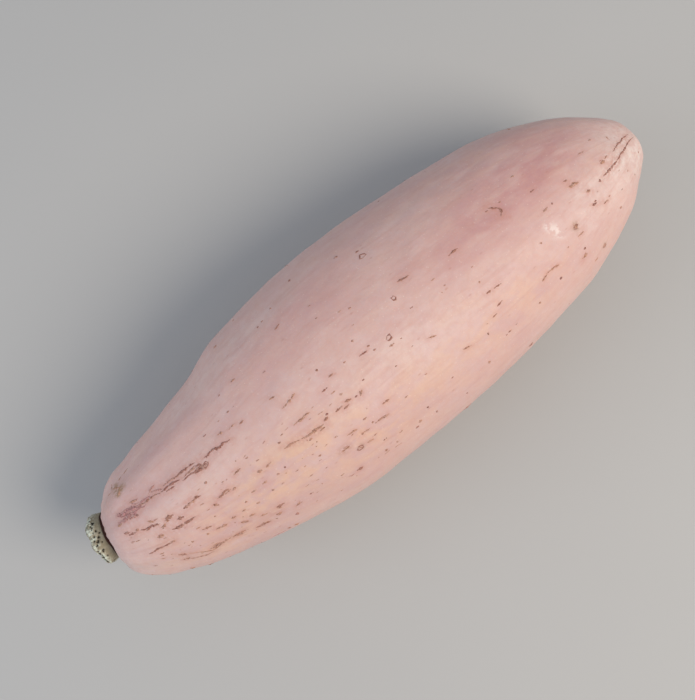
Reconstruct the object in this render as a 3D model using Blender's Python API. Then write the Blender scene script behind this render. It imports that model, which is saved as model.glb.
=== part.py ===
"""Banana squash: a long pink winter squash lying on its side, with its corky stem."""

import math

import bmesh
import bpy
from mathutils import Vector, noise

MM = 0.001

# Fruit: one closed rind, about 600 mm from the lip round the stem to the blossom end.
# Each station is a distance along the part, the half width there, and how far the middle of the
# section lies towards +Y, all in millimetres. They run from the lip to the last ring before the tip.
STATIONS = (
    (10.8, 22.6, 15.8),
    (9.4, 25.5, 15.2),
    (11.4, 31.0, 13.0),
    (18.5, 40.0, 10.0),
    (26.5, 46.3, 7.4),
    (38.0, 52.8, 4.6),
    (51.0, 57.6, 2.2),
    (70.0, 64.4, 0.0),
    (110.0, 74.5, -2.4),
    (165.0, 88.0, -2.0),
    (215.0, 98.0, -0.5),
    (285.0, 101.8, 1.8),
    (350.0, 100.0, 1.0),
    (430.0, 92.0, 0.0),
    (490.0, 81.5, -0.6),
    (540.0, 62.5, -2.2),
    (558.0, 53.0, -2.6),
    (574.0, 41.0, -3.0),
    (587.0, 30.6, -3.8),
    (596.5, 20.0, -5.2),
)
TIP_ALONG = 602.0
TIP_OFFSET = -6.4
HEIGHT_RATIO = 0.965  # height of a section over its width
AXIS_HEIGHT = 93.2  # height of the middle line above the ground
FLOOR_BLEND = 2.5  # the belly eases into its flat ground spot over this height
SIDES = 64
STEPS = 2  # rings between one station and the next

# Seat: the flat basin that the stem stands in, turned towards +Y.
SEAT_ALONG = 12.0
SEAT_RADIUS = 22.0
SEAT_TURN = math.radians(17.0)
SEAT_REACH = 28.0  # the turn fades into the body over about this length

# Ribs: faint lobes, strongest in the shoulder at the stem.
RIBS = 10
RIB_HEIGHT = 0.9
RIB_REACH = 190.0

# Bulges and hollows: distance along, degrees round from the crest towards -Y, reach along,
# reach round in degrees, height.
SWELLS = (
    (181.0, -85.0, 22.0, 45.0, 2.2),
    (150.0, -80.0, 20.0, 45.0, -2.0),
    (92.0, -70.0, 34.0, 30.0, -1.0),
    (60.0, 40.0, 40.0, 26.0, 1.2),
    (245.0, 20.0, 60.0, 24.0, 0.9),
    (330.0, -35.0, 70.0, 22.0, -1.0),
    (345.0, 62.0, 80.0, 26.0, 0.9),
    (437.0, -8.0, 26.0, 14.0, -0.8),
    (470.0, 21.0, 16.0, 10.0, -0.7),
    (505.0, -50.0, 45.0, 24.0, 1.0),
    (560.0, 15.0, 18.0, 26.0, 0.9),
    (566.0, -12.0, 10.0, 14.0, -1.0),
)

# Blossom scar: a low ring round a dimple at the tip.
SCAR_RADIUS = 7.0
SCAR_HEIGHT = 0.8
SCAR_WIDTH = 2.4

# Corky streaks: distance along, degrees round, length, width, and the drift round over the length.
STREAKS = (
    (36.0, -16.0, 12.0, 3.0, 2.0),
    (42.0, -8.5, 16.0, 3.6, -1.0),
    (50.0, -14.5, 16.0, 3.4, 3.0),
    (66.0, -11.0, 15.0, 3.2, -1.5),
    (90.0, -10.2, 26.0, 2.4, 2.0),
    (111.0, -11.6, 24.0, 2.4, 1.0),
    (117.0, -6.0, 24.0, 3.4, 3.5),
    (143.0, -7.2, 34.0, 2.2, 3.8),
    (36.0, 3.4, 12.0, 2.6, 1.5),
    (54.0, 6.0, 17.0, 3.2, 1.8),
    (98.0, 8.0, 20.0, 2.4, -0.6),
    (73.0, 8.2, 10.0, 2.8, 0.0),
    (80.0, 17.6, 27.0, 3.4, 0.4),
    (57.0, 27.0, 20.0, 3.4, -1.6),
    (122.0, 15.4, 13.0, 2.6, -0.6),
    (102.0, 34.0, 13.0, 2.4, 1.4),
    (143.0, 10.0, 10.0, 2.2, -1.0),
    (92.0, 47.4, 26.0, 3.4, -1.0),
    (128.0, 51.5, 15.0, 3.0, 0.8),
    (193.0, 17.0, 17.0, 2.4, 2.2),
    (213.0, -0.3, 17.0, 2.4, -1.0),
    (212.0, 10.1, 17.0, 2.2, 0.6),
    (216.0, 18.6, 24.0, 3.0, 1.0),
    (246.0, 18.2, 18.0, 2.6, 0.0),
    (233.0, 40.6, 8.0, 5.0, 1.0),
    (256.0, 35.3, 26.0, 2.4, 0.6),
    (307.0, 8.0, 9.0, 5.0, 0.0),
    (346.0, -9.4, 12.0, 2.4, 1.0),
    (447.0, 36.0, 20.0, 2.2, -0.6),
    (487.0, 27.0, 8.0, 5.2, 0.0),
    (508.0, 7.0, 13.0, 2.8, 1.0),
    (545.0, 15.2, 26.0, 3.0, 0.6),
    (577.0, 12.8, 22.0, 2.6, -2.4),
    (568.0, 4.4, 30.0, 2.8, -3.4),
)
STREAK_SIDES = 6
STREAK_RINGS = 8
STREAK_HEIGHT = 0.32  # height over width
STREAK_SINK = 0.5  # of the height, hidden in the rind
STREAK_WAVE = 0.45  # sideways wander, of the width

# Stem: a short corky plug, wider at its cut end. Each ring is its distance from the seat and its
# radius, from the middle of the base, round the flank and the rim, to the middle of the cut end.
STEM_GAP = 0.3
STEM_PROFILE = (
    (0.0, 12.0),
    (0.0, 19.4),
    (0.8, 20.2),
    (3.0, 20.4),
    (6.0, 20.8),
    (9.0, 21.9),
    (11.5, 23.2),
    (13.8, 23.8),
    (16.0, 23.4),
    (17.8, 21.8),
    (18.8, 19.4),
    (18.9, 16.0),
    (18.2, 12.0),
    (17.4, 7.6),
    (16.0, 4.0),
)
STEM_SLANT = math.tan(math.radians(6.0))  # the stem is longer on its +Y side
STEM_SIDES = 40
STEM_PITH_DEPTH = 4.2
STEM_LOBES = 7
STEM_LOBE_HEIGHT = 0.7
STEM_ROUGH_START = 9.0  # the cork is rough from here to the cut end
STEM_ROUGHNESS = 0.9
STEM_ROUGH_SCALE = 0.22  # bumps per millimetre

# Where the middle of the whole part's footprint lies on the drawing.
ORIGIN_ALONG = 296.3
ORIGIN_ACROSS = 1.67

RIND_COLOUR = (0.72, 0.40, 0.34, 1.0)
CORK_COLOUR = (0.27, 0.13, 0.10, 1.0)
STEM_COLOUR = (0.36, 0.31, 0.20, 1.0)


def make_material(name, colour, roughness):
    material = bpy.data.materials.new(name)
    material.use_nodes = True
    shader = material.node_tree.nodes["Principled BSDF"]
    shader.inputs["Base Color"].default_value = colour
    shader.inputs["Roughness"].default_value = roughness
    shader.inputs["Metallic"].default_value = 0.0
    return material


def make_object(name, bm, materials):
    mesh = bpy.data.meshes.new(name)
    bm.to_mesh(mesh)
    bm.free()
    for material in materials:
        mesh.materials.append(material)
    mesh.shade_smooth()
    obj = bpy.data.objects.new(name, mesh)
    bpy.context.scene.collection.objects.link(obj)
    return obj


def curve_point(p0, p1, p2, p3, share):
    """One point of the rounded curve that passes through p1 and p2."""
    t1 = (p1 - p0).length ** 0.5
    t2 = t1 + (p2 - p1).length ** 0.5
    t3 = t2 + (p3 - p2).length ** 0.5
    t = t1 + (t2 - t1) * share
    a1 = p0.lerp(p1, t / t1)
    a2 = p1.lerp(p2, (t - t1) / (t2 - t1))
    a3 = p2.lerp(p3, (t - t2) / (t3 - t2))
    b1 = a1.lerp(a2, t / t2)
    b2 = a2.lerp(a3, (t - t1) / (t3 - t1))
    return b1.lerp(b2, (t - t1) / (t2 - t1))


def body_curve(steps):
    """Sections from the lip to the tip as (along, half width, offset), rounded between stations."""
    stations = [Vector(station) for station in STATIONS]
    tip = Vector((TIP_ALONG, 0.0, TIP_OFFSET))
    beyond = Vector((stations[-1].x, -stations[-1].y, stations[-1].z))
    before = Vector((SEAT_ALONG, SEAT_RADIUS - 1.0, stations[0].z))
    points = [before] + stations + [tip, beyond]
    curve = []
    for i in range(1, len(points) - 2):
        for step in range(steps):
            curve.append(curve_point(*points[i - 1 : i + 3], step / steps))
    curve.append(tip)
    return curve


def relief(along, around):
    """Height of the ribs, swells and blossom scar above the plain section."""
    height = RIB_HEIGHT * math.cos(RIBS * around) * math.exp(-((along / RIB_REACH) ** 2))
    for at, turn, reach, spread, rise in SWELLS:
        away = math.remainder(around - math.radians(turn), math.tau) / math.radians(spread)
        height += rise * math.exp(-(((along - at) / reach) ** 2) - away**2)
    return height


def section_point(section, around):
    """A point of the rind; around runs from the crest towards -Y."""
    along, half_width, offset = section
    fade = min(1.0, half_width / 30.0)
    radius = half_width + relief(along, around) * fade
    across = -radius * math.sin(around)
    lean = math.tan(SEAT_TURN) * math.exp(-abs(along - SEAT_ALONG) / SEAT_REACH)
    height = AXIS_HEIGHT + radius * HEIGHT_RATIO * math.cos(around)
    if height < -FLOOR_BLEND:
        height = 0.0
    elif height < FLOOR_BLEND:
        height = (height + FLOOR_BLEND) ** 2 / (4.0 * FLOOR_BLEND)
    x = along + lean * across - ORIGIN_ALONG
    return Vector((x, offset + across - ORIGIN_ACROSS, height)) * MM


def section_at(along, curve):
    """The section at a distance from the stem end, for a distance past the lip."""
    for low, high in zip(curve[2 * STEPS :], curve[2 * STEPS + 1 :]):
        if low.x <= along <= high.x:
            return low.lerp(high, (along - low.x) / (high.x - low.x))
    return curve[-2]


def rind_frame(along, around, curve):
    """A point of the rind with its outward direction and its directions along and round."""
    here = section_point(section_at(along, curve), around)
    ahead = section_point(section_at(along + 2.0, curve), around)
    beside = section_point(section_at(along, curve), around + 0.02)
    lengthways = (ahead - here).normalized()
    roundways = (beside - here).normalized()
    return here, roundways.cross(lengthways).normalized(), lengthways, roundways


def scar_shift(half_width):
    """How far the skin near the tip stands out of the plain round end."""
    ring = SCAR_HEIGHT * math.exp(-(((half_width - SCAR_RADIUS) / SCAR_WIDTH) ** 2))
    dimple = SCAR_HEIGHT * math.exp(-((half_width / SCAR_WIDTH) ** 2))
    return ring - dimple


def add_ring(bm, points):
    """Vertices of one ring, joined by edges."""
    verts = [bm.verts.new(point) for point in points]
    for i, vert in enumerate(verts):
        bm.edges.new((vert, verts[(i + 1) % len(verts)]))
    return verts


def ring_edges(ring):
    """The edges of a ring, found between its neighbouring vertices."""
    edges = []
    for i, vert in enumerate(ring):
        following = ring[(i + 1) % len(ring)]
        edges.extend(edge for edge in vert.link_edges if edge.other_vert(vert) is following)
    return edges


def bridge(bm, rings):
    """Skin a row of rings and close both ends with a fan."""
    for first, second in zip(rings, rings[1:]):
        bmesh.ops.bridge_loops(bm, edges=ring_edges(first) + ring_edges(second))
    for ring in (rings[0], rings[-1]):
        cap = bm.faces.new(ring)
        bmesh.ops.poke(bm, faces=[cap])


def build_fruit(curve, materials):
    """The rind as one closed solid, from the seat round the belly to the tip."""
    bm = bmesh.new()
    seat = (SEAT_ALONG, SEAT_RADIUS, STATIONS[0][2])
    half_seat = (SEAT_ALONG, SEAT_RADIUS * 0.5, STATIONS[0][2])
    last = curve[-2]
    tip_rings = [Vector((0, last.y * share, 0)) for share in (0.8, 0.55, 0.3)]
    sections = [half_seat, seat] + curve[:-1]
    for small in tip_rings:
        bulge = (1.0 - (small.y / last.y) ** 2) * (TIP_ALONG - last.x)
        sections.append((last.x + bulge + scar_shift(small.y), small.y, TIP_OFFSET))
    rings = []
    for section in sections:
        turns = [math.tau * i / SIDES for i in range(SIDES)]
        rings.append(add_ring(bm, [section_point(section, turn) for turn in turns]))
    bridge(bm, rings)
    bmesh.ops.recalc_face_normals(bm, faces=bm.faces)
    return make_object("fruit", bm, materials)


def build_streak(number, streak, curve, materials):
    """One corky streak: a low spindle that follows the rind, sunk in by half its height."""
    along, degrees, length, width, drift = streak
    bm = bmesh.new()
    bmesh.ops.create_uvsphere(
        bm, u_segments=STREAK_SIDES, v_segments=STREAK_RINGS, radius=1.0
    )
    height = width * STREAK_HEIGHT / (1.0 - STREAK_SINK)
    for vert in bm.verts:
        side, rise, run = vert.co
        here = along + run * length / 2.0
        turn = math.radians(degrees + run * drift / 2.0)
        point, out, lengthways, roundways = rind_frame(here, turn, curve)
        wander = STREAK_WAVE * width * math.sin(2.6 * run + number)
        aside = (side * width / 2.0 + wander * (1.0 - run * run)) * MM
        lift = (rise - STREAK_SINK) * height * MM
        vert.co = point + roundways * aside + out * lift
    bmesh.ops.recalc_face_normals(bm, faces=bm.faces)
    for face in bm.faces:
        face.material_index = 1
    return make_object(f"streak_{number:02d}", bm, materials)


def join_streaks(fruit, curve, materials):
    """Fuse every streak into the rind with one union."""
    group = bpy.data.collections.new("streaks")
    bpy.context.scene.collection.children.link(group)
    for number, streak in enumerate(STREAKS):
        obj = build_streak(number, streak, curve, materials)
        bpy.context.scene.collection.objects.unlink(obj)
        group.objects.link(obj)
    union = fruit.modifiers.new("streaks", "BOOLEAN")
    union.operation = "UNION"
    union.operand_type = "COLLECTION"
    union.collection = group
    union.solver = "EXACT"
    union.material_mode = "INDEX"
    graph = bpy.context.evaluated_depsgraph_get()
    fused = bpy.data.meshes.new_from_object(fruit.evaluated_get(graph))
    fruit.modifiers.clear()
    fruit.data = fused
    for obj in list(group.objects):
        bpy.data.objects.remove(obj)
    bpy.data.collections.remove(group)


def stem_radius(distance, radius, turn):
    """Radius of the stem with its lobes and, towards the cut end, its rough cork."""
    lobes = STEM_LOBE_HEIGHT * math.cos(STEM_LOBES * turn) * min(1.0, distance / 6.0)
    if distance < STEM_ROUGH_START:
        return radius + lobes * radius / STEM_PROFILE[7][1]
    spot = Vector((distance, radius * math.cos(turn), radius * math.sin(turn)))
    rough = STEM_ROUGHNESS * noise.noise(spot * STEM_ROUGH_SCALE * 2.0)
    return radius + lobes * radius / STEM_PROFILE[7][1] + rough


def build_stem(materials):
    """The plug, drawn along its own axis and set square on the seat."""
    bm = bmesh.new()
    foot = Vector((SEAT_ALONG - ORIGIN_ALONG, STATIONS[0][2] - ORIGIN_ACROSS, AXIS_HEIGHT))
    outwards = Vector((-math.cos(SEAT_TURN), math.sin(SEAT_TURN), 0.0))
    aside = Vector((math.sin(SEAT_TURN), math.cos(SEAT_TURN), 0.0))
    up = Vector((0.0, 0.0, 1.0))
    rings = []
    for distance, radius in STEM_PROFILE:
        ring = []
        for i in range(STEM_SIDES):
            turn = math.tau * i / STEM_SIDES
            reach = stem_radius(distance, radius, turn)
            spoke = aside * (reach * math.cos(turn)) + up * (reach * math.sin(turn))
            slant = STEM_SLANT * reach * math.cos(turn) * distance / STEM_PROFILE[-1][0]
            ring.append((foot + outwards * (distance + STEM_GAP + slant) + spoke) * MM)
        rings.append(add_ring(bm, ring))
    bridge(bm, rings)
    bm.verts.ensure_lookup_table()
    bm.verts[-1].co -= outwards * STEM_PITH_DEPTH * 0.5 * MM
    bmesh.ops.recalc_face_normals(bm, faces=bm.faces)
    return make_object("stem", bm, materials)


def main():
    for obj in list(bpy.data.objects):
        bpy.data.objects.remove(obj)
    rind = make_material("pink_rind", RIND_COLOUR, 0.5)
    cork = make_material("brown_cork", CORK_COLOUR, 0.9)
    stem_cork = make_material("stem_cork", STEM_COLOUR, 0.85)
    curve = body_curve(STEPS)
    fruit = build_fruit(curve, (rind, cork))
    join_streaks(fruit, curve, (rind, cork))
    build_stem((stem_cork,))


main()
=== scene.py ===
import math

import bmesh
import bpy
import numpy as np
from mathutils import Euler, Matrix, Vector, noise


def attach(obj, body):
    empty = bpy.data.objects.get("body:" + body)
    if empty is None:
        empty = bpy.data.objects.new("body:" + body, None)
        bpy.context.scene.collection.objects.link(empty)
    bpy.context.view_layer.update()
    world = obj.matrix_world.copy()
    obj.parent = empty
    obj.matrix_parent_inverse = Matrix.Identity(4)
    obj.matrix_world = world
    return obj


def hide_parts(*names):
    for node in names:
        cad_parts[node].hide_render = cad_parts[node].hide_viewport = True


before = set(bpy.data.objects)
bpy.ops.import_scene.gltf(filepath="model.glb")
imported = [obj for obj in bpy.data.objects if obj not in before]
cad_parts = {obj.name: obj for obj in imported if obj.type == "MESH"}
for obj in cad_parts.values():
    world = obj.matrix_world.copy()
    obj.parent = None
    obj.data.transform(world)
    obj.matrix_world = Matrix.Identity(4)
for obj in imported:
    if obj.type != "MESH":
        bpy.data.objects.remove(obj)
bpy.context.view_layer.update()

# Rind of the squash.
# The fruit grew as one body: a hard waxy skin over firm flesh, narrow at the stem, widest past the
# middle, blunt at the blossom end and a little flattened underneath where its weight rests.
MM = 0.001
# Distance along, half width and offset sideways of the body's sections, in millimetres.
STATIONS = (
    (10.8, 22.6, 15.8), (9.4, 25.5, 15.2), (11.4, 31, 13), (18.5, 40, 10), (26.5, 46.3, 7.4),
    (38, 52.8, 4.6), (51, 57.6, 2.2), (70, 64.4, 0), (110, 74.5, -2.4), (165, 88, -2), (215, 98, -0.5),
    (285, 101.8, 1.8), (350, 100, 1), (430, 92, 0), (490, 81.5, -0.6), (540, 62.5, -2.2), (558, 53, -2.6),
    (574, 41, -3), (587, 30.6, -3.8), (596.5, 20, -5.2),
)
TIP_ALONG = 602.0
TIP_OFFSET = -6.4
CURVE_STEPS = 24
HEIGHT_RATIO = 0.965
AXIS_HEIGHT = 93.2
FLOOR_BLEND = 2.5
SEAT_ALONG = 12.0
SEAT_RADIUS = 22.0
SEAT_TURN = math.radians(17.0)
SEAT_REACH = 28.0
RIBS = 10
RIB_HEIGHT = 0.9
RIB_REACH = 190.0
RELIEF_FULL = 30.0  # half width from which the ribs and swells have their full height
ORIGIN_ALONG = 296.3
ORIGIN_ACROSS = 1.67
# Distance along, degrees round from the crest towards -Y, reach along, reach round, height.
SWELLS = (
    (181, -85, 22, 45, 2.2), (150, -80, 20, 45, -2), (92, -70, 34, 30, -1), (60, 40, 40, 26, 1.2),
    (245, 20, 60, 24, 0.9), (330, -35, 70, 22, -1), (345, 62, 80, 26, 0.9), (437, -8, 26, 14, -0.8),
    (470, 21, 16, 10, -0.7), (505, -50, 45, 24, 1), (560, 15, 18, 26, 0.9), (566, -12, 10, 14, -1),
)
SCAR_FROM = 590.0
SCAR_RADIUS = 7.0
SCAR_HEIGHT = 0.8
SCAR_WIDTH = 2.4
RIND_SIDES = 300
RIND_RINGS = 320
RING_SHARES = (0.0, 0.025, 0.15, 0.95, 1.0)  # share of the rings up to each place in RING_RUNS
LONG_FOLDS = (0.0045, 1.9, 0.9)  # waves per millimetre along, waves round, height
LUMPS = ((0.045, 0.55), (0.11, 0.22))  # bumps per millimetre, height
LUMPS_FROM = 4.0  # run past the lip of the basin
LUMPS_RAMP = 20.0
TIP_RAMP = 30.0
PUCKERS = 26  # small folds in the skin that turns down into the basin round the stem
PUCKER_HEIGHT = 0.28
PUCKER_REACH = 7.0
# Where the lip of the basin is pressed in: degrees round, reach along, reach round, depth.
LIP_DIP = (50.0, 9.0, 52.0, 2.2)
GRAIN_GIRTH = 100.0  # half width that the skin's pattern is drawn for
TAPER_FROM = 45.0  # half width below which the pattern draws together towards the ends


def curve_point(p0, p1, p2, p3, share):
    """One point of the rounded curve that passes through p1 and p2."""
    t1 = (p1 - p0).length ** 0.5
    t2 = t1 + (p2 - p1).length ** 0.5
    t3 = t2 + (p3 - p2).length ** 0.5
    t = t1 + (t2 - t1) * share
    a1 = p0.lerp(p1, t / t1)
    a2 = p1.lerp(p2, (t - t1) / (t2 - t1))
    a3 = p2.lerp(p3, (t - t2) / (t3 - t2))
    b1 = a1.lerp(a2, t / t2)
    b2 = a2.lerp(a3, (t - t1) / (t3 - t1))
    return b1.lerp(b2, (t - t1) / (t2 - t1))


def curve_rows(points, steps):
    """Rows of the rounded curve from the second of the points to the last but one."""
    rows = []
    for i in range(1, len(points) - 2):
        for step in range(steps):
            rows.append(tuple(curve_point(*points[i - 1 : i + 3], step / steps)))
    rows.append(tuple(points[-2]))
    return rows


def skin_profile():
    """Rows of (along, half width, offset, run of the skin) from the seat's middle to the tip."""
    stations = [Vector(station) for station in STATIONS]
    tip = Vector((TIP_ALONG, 0.0, TIP_OFFSET))
    beyond = Vector((stations[-1].x, -stations[-1].y, stations[-1].z))
    before = Vector((SEAT_ALONG, SEAT_RADIUS - 1.0, stations[0].z))
    seat = [(SEAT_ALONG, 0.0, stations[0].z), (SEAT_ALONG, SEAT_RADIUS, stations[0].z)]
    rows = np.array(seat + curve_rows([before] + stations + [tip, beyond], CURVE_STEPS))
    runs = np.hypot(np.diff(rows[:, 0]), np.diff(rows[:, 1]))
    return np.column_stack((rows, np.concatenate(([0.0], np.cumsum(runs)))))


PROFILE = skin_profile()
SKIN_LENGTH = PROFILE[-1, 3]
LIP_RUN = float(PROFILE[np.argmin(PROFILE[:, 0]), 3])
RING_RUNS = (0.0, SEAT_RADIUS - 4.0, LIP_RUN + 34.0, SKIN_LENGTH - 26.0, SKIN_LENGTH)


def body_at(run):
    """Distance along, half width and offset of the body at a run of the skin."""
    return [np.interp(run, PROFILE[:, 3], PROFILE[:, k]) for k in range(3)]


def run_at(along):
    """Run of the skin at a distance along the body, for a place past the lip."""
    past = PROFILE[:, 3] >= LIP_RUN
    return np.interp(along, PROFILE[past, 0], PROFILE[past, 3])


def width_at(along):
    """Half width of the body at a distance along it."""
    return body_at(run_at(along))[1]


def wrapped(angle):
    """The same angle, between minus and plus half a turn."""
    return (angle + math.pi) % math.tau - math.pi


def ramp(value, start, length):
    """Nothing up to the start, rising evenly to one."""
    return np.clip((value - start) / length, 0.0, 1.0)


def fade(away, reach):
    """One where away is nothing, falling softly to nothing past the reach."""
    return np.exp(-((away / reach) ** 2))


def patch(along, around, at, turn, reach, spread):
    """A soft patch on the skin: one in its middle, falling to nothing past its reaches."""
    away = wrapped(around - math.radians(turn))
    return np.exp(-(((along - at) / reach) ** 2) - (away / math.radians(spread)) ** 2)


def relief(along, around):
    """Height of the ribs and swells above the plain section."""
    height = RIB_HEIGHT * np.cos(RIBS * around) * fade(along, RIB_REACH)
    for at, turn, reach, spread, rise in SWELLS:
        height = height + rise * patch(along, around, at, turn, reach, spread)
    return height


def skin_points(run, around):
    """Points of the rind in millimetres, for arrays of run along the skin and angle round it."""
    along, half_width, offset = body_at(run)
    radius = half_width + relief(along, around) * np.minimum(1.0, half_width / RELIEF_FULL)
    across = -radius * np.sin(around)
    lean = math.tan(SEAT_TURN) * np.exp(-np.abs(along - SEAT_ALONG) / SEAT_REACH)
    scar = fade(half_width - SCAR_RADIUS, SCAR_WIDTH) - fade(half_width, SCAR_WIDTH)
    x = along + lean * across - ORIGIN_ALONG + np.where(along > SCAR_FROM, SCAR_HEIGHT * scar, 0.0)
    height = AXIS_HEIGHT + radius * HEIGHT_RATIO * np.cos(around)
    return np.stack((x, offset + across - ORIGIN_ACROSS, height), axis=-1)


def skin_outwards(run, around):
    """Directions straight out of the rind."""
    ahead = skin_points(run + 0.5, around) - skin_points(run - 0.5, around)
    beside = skin_points(run, around + 0.004) - skin_points(run, around - 0.004)
    ahead /= np.linalg.norm(ahead, axis=-1, keepdims=True)
    beside /= np.linalg.norm(beside, axis=-1, keepdims=True)
    out = np.cross(beside, ahead)
    return out / np.linalg.norm(out, axis=-1, keepdims=True)


def rest_on_ground(points):
    """Flatten what would reach below the ground, with a soft edge."""
    z = points[..., 2]
    eased = (np.maximum(z, -FLOOR_BLEND) + FLOOR_BLEND) ** 2 / (4.0 * FLOOR_BLEND)
    points[..., 2] = np.where(z < FLOOR_BLEND, eased, z)
    return points


def noise_at(points, scale, seed):
    """Soft noise between -1 and 1 at every point."""
    shift = Vector((seed * 17.3, seed * 5.1, seed * 9.7))
    return np.array([noise.noise(Vector(p) * scale + shift) for p in points])


def grown_skin(run, around, extra=0.0):
    """The rind as it grew: the even shape with its lumps and the puckers round the stem."""
    out = skin_outwards(np.clip(run, 0.6, SKIN_LENGTH - 0.6), around)
    here = skin_points(run, around)
    body = ramp(run, LIP_RUN + LUMPS_FROM, LUMPS_RAMP) * ramp(SKIN_LENGTH - run, 0.0, TIP_RAMP)
    lift = sum(height * noise_at(here, scale, scale) for scale, height in LUMPS) * body
    length_scale, round_scale, fold_height = LONG_FOLDS
    grain = np.column_stack((length_scale * run, round_scale * np.cos(around), round_scale * np.sin(around)))
    lift = lift + fold_height * noise_at(grain, 1.0, 6.0) * body
    folds = np.cos(PUCKERS * around + 2.0 * np.sin(3.0 * around)) * (0.6 + 0.4 * np.cos(5.0 * around))
    lift = lift + PUCKER_HEIGHT * fade(run - LIP_RUN, PUCKER_REACH) * folds
    turn, reach, spread, depth = LIP_DIP
    dip = depth * patch(run, around, LIP_RUN, turn, reach, spread)
    lift = lift - dip * ramp(run, SEAT_RADIUS, 3.0)
    lift = np.where(run < SEAT_RADIUS, 0.0, lift) + extra
    return here + out * lift[:, None]


# Corky marks in the skin: distance along, degrees round, length, width, drift round.
STREAKS = (
    (34, -17.5, 7, 2, 1.5), (38, -15.5, 13, 2.6, 2), (50, -14, 17, 3.2, 4), (53, -19.3, 9, 2, 3),
    (41, -9.5, 12, 2.8, -2), (47, -7.6, 11, 2.6, 1), (31, -8, 7, 2, -1), (46, -11.6, 14, 2, 2.5),
    (64, -14.2, 12, 1.8, 1), (74, -17, 10, 1.8, -3), (78, -13.6, 11, 1.8, 5), (89, -7.6, 9, 1.8, 1),
    (114, -8, 10, 1.4, 0), (121, -4.6, 14, 2.6, 0.6), (152, -12.4, 6, 1.6, 1.4),
    (163.5, -10.5, 8, 1.2, 0.8), (172, -8.5, 5, 1.4, 0), (33, 2.2, 8, 2, 2), (38, 4.6, 9, 1.8, 0),
    (43.5, 3.2, 3.5, 2.2, 0), (54, 6, 17, 2.6, 1.8), (58, 3.2, 5, 1.8, 4), (73, 8.1, 10, 2.8, 0),
    (92, 8.3, 9, 1.8, -1), (97, 8, 6, 2, 0), (103, 7.6, 8, 1.8, 0.6), (65, 11.5, 5, 1.8, -3),
    (80.5, 12.7, 7, 2.8, 1), (57, 17.5, 7, 2.4, 0), (111, 18.5, 3.5, 2.8, 0), (122, 15.4, 13, 2.2, -1),
    (132, 17, 4, 1.6, -1), (143, 10, 9, 1.9, -1.2), (158, 17.6, 5, 1.8, 0.6), (167, 17.5, 7, 1.8, -1),
    (61, 25.8, 7, 2, 0), (92, 29, 9, 1.8, 1.6), (102, 34, 12, 2, 1.4), (115, 32.4, 5, 1.6, 0),
    (143, 25, 6, 1.5, 0), (155, 24.3, 5, 1.8, 0), (128, 38, 6, 2, 0), (119, 40, 6, 2.4, 3),
    (135, 43, 7, 1.9, 1), (151, 43.2, 8, 2.2, 1), (60, 41, 6, 2.4, 3), (59, 48.6, 6, 2.2, 0),
    (88, 47.4, 16, 2.8, -1.6), (107, 48, 14, 2.2, -0.6), (145, 49, 6, 2.2, 0), (128, 51.5, 14, 2.6, 0.8),
    (162, 50.2, 6, 2.2, -2), (213, -0.2, 16, 1.9, -1), (204, -6.6, 6, 1.3, 1), (212, 10.1, 17, 1.7, 0.6),
    (227, 17.4, 5, 2, -0.6), (220, 20.1, 6, 1.8, 0), (240, 17.8, 8, 1.7, -0.3), (250, 17.5, 6, 1.8, 1),
    (246, 19.4, 6, 1.4, -0.6), (262, 19, 4.5, 2.2, -2), (241, 7, 6, 1.5, 0), (252, 4, 5, 1.5, 0),
    (236, 31, 10, 1.7, 0.4), (273, 30.2, 8, 1.5, 0.6), (223, 36.1, 9, 2.2, 0), (244, 35.2, 11, 1.7, 0),
    (262, 35.6, 14, 1.9, 0.6), (243, 41.5, 6, 1.5, 1), (221, 52.6, 6, 2.4, 0), (283, 6, 8, 2, 0),
    (346, -9.5, 11, 1.9, 1), (334, 20, 8, 1.2, 2.4), (391, -4.9, 10, 1.5, 0.2), (393, 21.1, 5, 1.9, 0),
    (402, 21.6, 8, 1.3, 0.6), (395, 29.4, 7, 1.3, -0.6), (352, 36, 8, 1.5, 1), (386, 32.6, 5, 1.1, 0),
    (439, 36.6, 7, 1.7, -0.8), (448, 35.7, 12, 1.4, 0), (454, 36.6, 4, 1.5, 1), (487, 32.9, 7, 1.7, 0),
    (473, 7.5, 6, 1.5, -1), (475, -5, 5, 1.4, 0), (507, 6.6, 12, 2.2, 1.6), (503, 1.8, 5, 1.5, 0.6),
    (515, 16.2, 5, 2, 1), (543, 7.2, 6, 2.4, 0), (549, 5.8, 5, 1.7, -1), (524, 31.2, 7, 1.8, 1.4),
    (513, 25.5, 6, 2.2, 1), (481, 47, 7, 2.4, 0), (533, -8.5, 7, 1.4, 0), (243, -32, 6, 1.4, -1),
    (187, -28.5, 5, 1.3, 0.6),
)
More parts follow.
